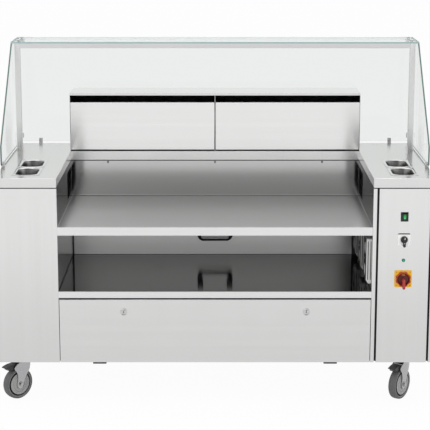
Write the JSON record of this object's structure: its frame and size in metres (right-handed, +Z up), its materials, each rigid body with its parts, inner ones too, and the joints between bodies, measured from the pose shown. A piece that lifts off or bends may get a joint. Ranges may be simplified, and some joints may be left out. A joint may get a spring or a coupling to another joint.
{
  "type": "cooking station",
  "caption": "Mobile stainless front-cooking station with a sunken appliance bay between two columns, a rear extraction hood, a glass guard, food pans and swivel castors.",
  "frame": {"origin": "on the floor under the middle of the outer box", "axes": "+X to the cook's right, +Y away from the cook to the customer's side, +Z up"},
  "size_m": [1.69, 0.8684, 1.362],
  "materials": {
    "stainless_steel": "brushed stainless sheet",
    "guard_glass": "clear float glass with green edges",
    "black_plastic": "black moulded plastic",
    "socket_plastic": "light grey moulded plastic",
    "green_lens": "green lit lens",
    "white_plate": "white moulded plate",
    "yellow_plate": "yellow moulded plate",
    "red_handle": "red moulded handle",
    "zinc_steel": "bright zinc plate",
    "tyre_rubber": "dark grey rubber on a grey core",
    "filter_aluminium": "folded aluminium baffles",
    "carbon_medium": "framed carbon medium",
    "fan_metal": "galvanised sheet",
    "motor_metal": "dark painted motor",
    "box_plastic": "grey moulded plastic"
  },
  "bodies": {
    "root": {"worktop": "stainless_steel", "left_cabinet": "stainless_steel", "left_inner_side": "stainless_steel", "right_inner_side": "stainless_steel", "right_outer_side": "stainless_steel", "control_panel": "stainless_steel", "rear_panel": "stainless_steel", "upper_shelf": "stainless_steel", "lower_shelf": "stainless_steel", "bay_rear_wall": "stainless_steel", "base_pan": "stainless_steel", "hood_housing": "stainless_steel", "guard_posts": "stainless_steel", "guard_rail": "stainless_steel", "glass_fittings": "stainless_steel", "wall_screws": "stainless_steel", "rear_glass": "guard_glass", "left_glass": "guard_glass", "right_glass": "guard_glass", "top_glass": "guard_glass", "panel_tabs": "black_plastic", "socket_faces": "black_plastic", "rocker_frame": "black_plastic", "socket_housings": "socket_plastic", "signal_lamp": "green_lens", "fan_switch": "white_plate", "main_switch": "yellow_plate", "castor_plates": "zinc_steel", "carbon_filter": "carbon_medium", "fan_scroll": "fan_metal", "fan_motor": "motor_metal", "electrical_box": "box_plastic", "cable_gland": "box_plastic"},
    "left_cover": {"left_hood_cover": "stainless_steel", "left_grease_filter": "filter_aluminium"},
    "right_cover": {"right_hood_cover": "stainless_steel", "right_grease_filter": "filter_aluminium"},
    "front_panel": {"front_panel": "stainless_steel"},
    "left_lock": {"left_lock": "stainless_steel"},
    "right_lock": {"right_lock": "stainless_steel"},
    "duct_panel": {"duct_panel": "stainless_steel", "duct_handle": "black_plastic"},
    "rocker": {"rocker": "green_lens"},
    "fan_knob": {"fan_switch_knob": "black_plastic"},
    "main_handle": {"main_switch_handle": "red_handle"},
    "pan_left_front": {"pan_left_front": "stainless_steel"},
    "pan_left_rear": {"pan_left_rear": "stainless_steel"},
    "pan_right_front": {"pan_right_front": "stainless_steel"},
    "pan_right_rear": {"pan_right_rear": "stainless_steel"},
    "impeller": {"fan_impeller": "fan_metal"},
    "pedal_left": {"brake_pedal_left": "black_plastic"},
    "pedal_right": {"brake_pedal_right": "black_plastic"},
    "castor_front_left": {"castor_fork_front_left": "zinc_steel"},
    "wheel_front_left": {"castor_wheel_front_left": "tyre_rubber"},
    "castor_front_right": {"castor_fork_front_right": "zinc_steel"},
    "wheel_front_right": {"castor_wheel_front_right": "tyre_rubber"},
    "castor_rear_left": {"castor_fork_rear_left": "zinc_steel"},
    "wheel_rear_left": {"castor_wheel_rear_left": "tyre_rubber"},
    "castor_rear_right": {"castor_fork_rear_right": "zinc_steel"},
    "wheel_rear_right": {"castor_wheel_rear_right": "tyre_rubber"}
  },
  "joints": [
    {"name": "pan_left_front_lift", "type": "slide", "parent": "root", "child": "pan_left_front", "axis": [0, 0, 1], "range_m": [0, 0.13]},
    {"name": "pan_left_rear_lift", "type": "slide", "parent": "root", "child": "pan_left_rear", "axis": [0, 0, 1], "range_m": [0, 0.13]},
    {"name": "pan_right_front_lift", "type": "slide", "parent": "root", "child": "pan_right_front", "axis": [0, 0, 1], "range_m": [0, 0.13]},
    {"name": "pan_right_rear_lift", "type": "slide", "parent": "root", "child": "pan_right_rear", "axis": [0, 0, 1], "range_m": [0, 0.13]},
    {"name": "left_cover_slide", "type": "slide", "parent": "root", "child": "left_cover", "axis": [0, -1, 0], "range_m": [0, 0.22]},
    {"name": "right_cover_slide", "type": "slide", "parent": "root", "child": "right_cover", "axis": [0, -1, 0], "range_m": [0, 0.22]},
    {"name": "front_panel_slide", "type": "slide", "parent": "root", "child": "front_panel", "axis": [0, -1, 0], "range_m": [0, 0.25]},
    {"name": "duct_panel_slide", "type": "slide", "parent": "root", "child": "duct_panel", "axis": [0, -1, 0], "range_m": [0, 0.3]},
    {"name": "left_lock_turn", "type": "hinge", "parent": "front_panel", "child": "left_lock", "pos_m": [-0.354, -0.39585, 0.373], "axis": [0, -1, 0], "range_deg": [0, 90]},
    {"name": "right_lock_turn", "type": "hinge", "parent": "front_panel", "child": "right_lock", "pos_m": [0.354, -0.39585, 0.373], "axis": [0, 1, 0], "range_deg": [0, 90]},
    {"name": "rocker_tip", "type": "hinge", "parent": "root", "child": "rocker", "pos_m": [0.725, -0.39085, 0.75], "axis": [-1, 0, 0], "range_deg": [0, 16]},
    {"name": "fan_knob_turn", "type": "hinge", "parent": "root", "child": "fan_knob", "pos_m": [0.725, -0.39585, 0.661], "axis": [0, 1, 0], "range_deg": [0, 135]},
    {"name": "main_handle_turn", "type": "hinge", "parent": "root", "child": "main_handle", "pos_m": [0.725, -0.39585, 0.506], "axis": [0, 1, 0], "range_deg": [0, 90]},
    {"name": "impeller_spin", "type": "hinge", "parent": "root", "child": "impeller", "pos_m": [0, -0.06585, 0.3], "axis": [1, 0, 0], "continuous": true},
    {"name": "swivel_front_left", "type": "hinge", "parent": "root", "child": "castor_front_left", "pos_m": [-0.753, -0.29885, 0.1595], "axis": [0, 0, 1], "continuous": true},
    {"name": "wheel_front_left_roll", "type": "hinge", "parent": "castor_front_left", "child": "wheel_front_left", "pos_m": [-0.78152, -0.32545, 0.0625], "axis": [0.682, -0.7314, 0], "continuous": true},
    {"name": "pedal_left_press", "type": "hinge", "parent": "castor_front_left", "child": "pedal_left", "pos_m": [-0.79688, -0.33977, 0.1305], "axis": [0.682, -0.7314, 0], "range_deg": [0, 16]},
    {"name": "swivel_front_right", "type": "hinge", "parent": "root", "child": "castor_front_right", "pos_m": [0.753, -0.29885, 0.1595], "axis": [0, 0, 1], "continuous": true},
    {"name": "wheel_front_right_roll", "type": "hinge", "parent": "castor_front_right", "child": "wheel_front_right", "pos_m": [0.72953, -0.33, 0.0625], "axis": [0.7986, -0.6018, 0], "continuous": true},
    {"name": "pedal_right_press", "type": "hinge", "parent": "castor_front_right", "child": "pedal_right", "pos_m": [0.71689, -0.34677, 0.1305], "axis": [0.7986, -0.6018, 0], "range_deg": [0, 16]},
    {"name": "swivel_rear_left", "type": "hinge", "parent": "root", "child": "castor_rear_left", "pos_m": [-0.753, 0.33715, 0.1595], "axis": [0, 0, 1], "continuous": true},
    {"name": "wheel_rear_left_roll", "type": "hinge", "parent": "castor_rear_left", "child": "wheel_rear_left", "pos_m": [-0.7791, 0.30817, 0.0625], "axis": [0.7431, -0.6691, 0], "continuous": true},
    {"name": "swivel_rear_right", "type": "hinge", "parent": "root", "child": "castor_rear_right", "pos_m": [0.753, 0.33715, 0.1595], "axis": [0, 0, 1], "continuous": true},
    {"name": "wheel_rear_right_roll", "type": "hinge", "parent": "castor_rear_right", "child": "wheel_rear_right", "pos_m": [0.72145, 0.31423, 0.0625], "axis": [0.5878, -0.809, 0], "continuous": true}
  ]
}
